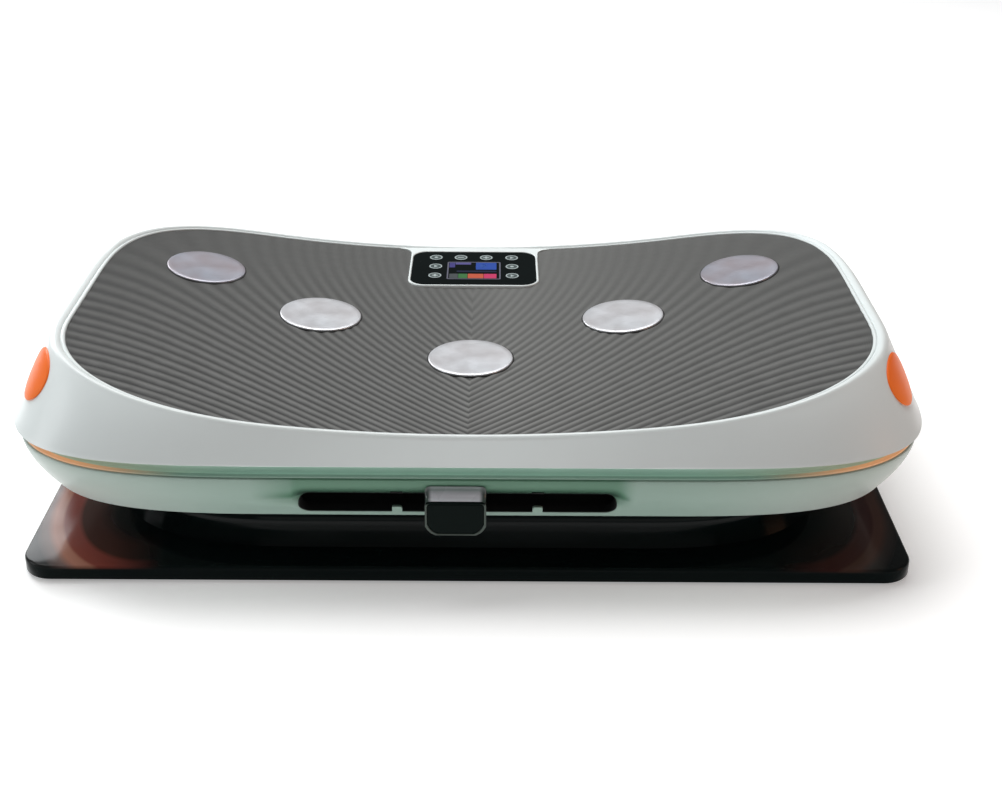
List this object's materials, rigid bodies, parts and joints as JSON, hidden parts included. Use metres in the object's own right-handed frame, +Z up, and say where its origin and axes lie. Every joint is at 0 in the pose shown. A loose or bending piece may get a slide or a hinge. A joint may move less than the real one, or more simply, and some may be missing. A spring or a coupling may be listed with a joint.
{
  "type": "vibration plate",
  "caption": "Rocking exercise platform with a dished ribbed deck, round foot discs, touch panel, glowing side lamps and a docked remote on a black base.",
  "frame": {"origin": "on the floor under the middle of the whole machine, docked remote included", "axes": "+X along the platform, +Y away from the user towards the display, +Z up"},
  "size_m": [0.76, 0.4655, 0.1674],
  "materials": {
    "white_shell": "satin moulded white plastic",
    "pale_shell": "satin moulded plastic, white with a faint green cast",
    "mat_grey": "ribbed matte rubber",
    "satin_disc": "satin metal with fine concentric brushing",
    "steel": "dark grey paint",
    "bright_steel": "ground",
    "aluminium": "machined",
    "cast_iron": "painted casting",
    "gloss_black": "polished black",
    "black_plastic": "matte moulded",
    "panel_glass": "gloss black touch panel",
    "display": "dark screen",
    "board_green": "circuit board",
    "lamp_orange": "glowing orange lens",
    "light_ring": "translucent diffuser",
    "foot_rubber": "matte",
    "belt_rubber": "matte",
    "capacitor_blue": "sleeve",
    "switch_red": "gloss",
    "remote_black": "gloss black",
    "bronze": "dark bronze trim"
  },
  "bodies": {
    "housing": {"lower_shell": "pale_shell", "drive_belt": "belt_rubber", "drive_motor": "black_plastic", "motor_cradle": "steel", "slot_liner": "black_plastic", "light_ring": "light_ring", "pedestal_cover": "gloss_black", "base_slab": "gloss_black", "base_plate": "steel", "pivot_stand_front": "cast_iron", "pivot_stand_rear": "cast_iron", "crank_bearing_front": "cast_iron", "crank_bearing_rear": "cast_iron", "board_tray": "black_plastic", "control_board": "board_green", "heat_sink": "aluminium", "transformer": "cast_iron", "mains_capacitor": "capacitor_blue", "power_inlet": "black_plastic", "rubber_foot_1": "foot_rubber", "rubber_buffer_1": "foot_rubber", "buffer_post_1": "steel", "rubber_foot_2": "foot_rubber", "rubber_buffer_2": "foot_rubber", "buffer_post_2": "steel", "rubber_foot_3": "foot_rubber", "rubber_buffer_3": "foot_rubber", "buffer_post_3": "steel", "rubber_foot_4": "foot_rubber", "rubber_buffer_4": "foot_rubber", "buffer_post_4": "steel"},
    "platform": {"upper_shell": "white_shell", "deck_mat": "mat_grey", "deck_plate": "steel", "panel_bezel": "white_shell", "panel_glass": "panel_glass", "display_screen": "display", "panel_board": "board_green", "side_lamp_left": "lamp_orange", "side_lamp_right": "lamp_orange", "rocker_cheek_front": "steel", "rocker_cheek_rear": "steel", "pivot_shaft": "bright_steel", "rod_clevis": "steel", "rod_pin": "bright_steel", "massage_disc_1": "satin_disc", "massage_disc_2": "satin_disc", "massage_disc_3": "satin_disc", "massage_disc_4": "satin_disc", "massage_disc_5": "satin_disc"},
    "crank": {"crank_shaft": "bright_steel", "crank_pulley": "aluminium"},
    "motor_rotor": {"motor_shaft": "bright_steel", "motor_pulley": "aluminium"},
    "rod": {"connecting_rod": "aluminium"},
    "rocker_switch": {"power_switch": "switch_red"},
    "remote": {"remote_case": "remote_black", "remote_rim": "bronze", "remote_face": "remote_black"}
  },
  "joints": [
    {"name": "platform_rock", "type": "hinge", "parent": "housing", "child": "platform", "pos_m": [0, 0.0052, 0.075], "axis": [0, 1, 0], "range_deg": [-1.3, 1.3], "stiffness_Nm_per_rad": 1500, "deforming": ["rubber_buffer_1", "rubber_buffer_2", "rubber_buffer_3", "rubber_buffer_4"]},
    {"name": "crank_spin", "type": "hinge", "parent": "housing", "child": "crank", "pos_m": [0.0879, 0.0052, 0.055], "axis": [0, 1, 0], "continuous": true},
    {"name": "motor_spin", "type": "hinge", "parent": "housing", "child": "motor_rotor", "pos_m": [0.205, 0.0052, 0.058], "axis": [0, 1, 0], "continuous": true},
    {"name": "rod_turn", "type": "hinge", "parent": "crank", "child": "rod", "pos_m": [0.09, 0.0052, 0.055], "axis": [0, 1, 0], "continuous": true},
    {"name": "switch_rock", "type": "hinge", "parent": "housing", "child": "rocker_switch", "pos_m": [0.219, 0.1927, 0.02725], "axis": [0, 0, 1], "range_deg": [-16, 0]},
    {"name": "remote_pull", "type": "slide", "parent": "housing", "child": "remote", "axis": [0, -1, 0], "range_m": [0, 0.045]}
  ],
  "couplings": [
    {"joint": "motor_spin", "follows": "crank_spin", "ratio": 2.5},
    {"joint": "rod_turn", "follows": "crank_spin", "ratio": -1}
  ]
}
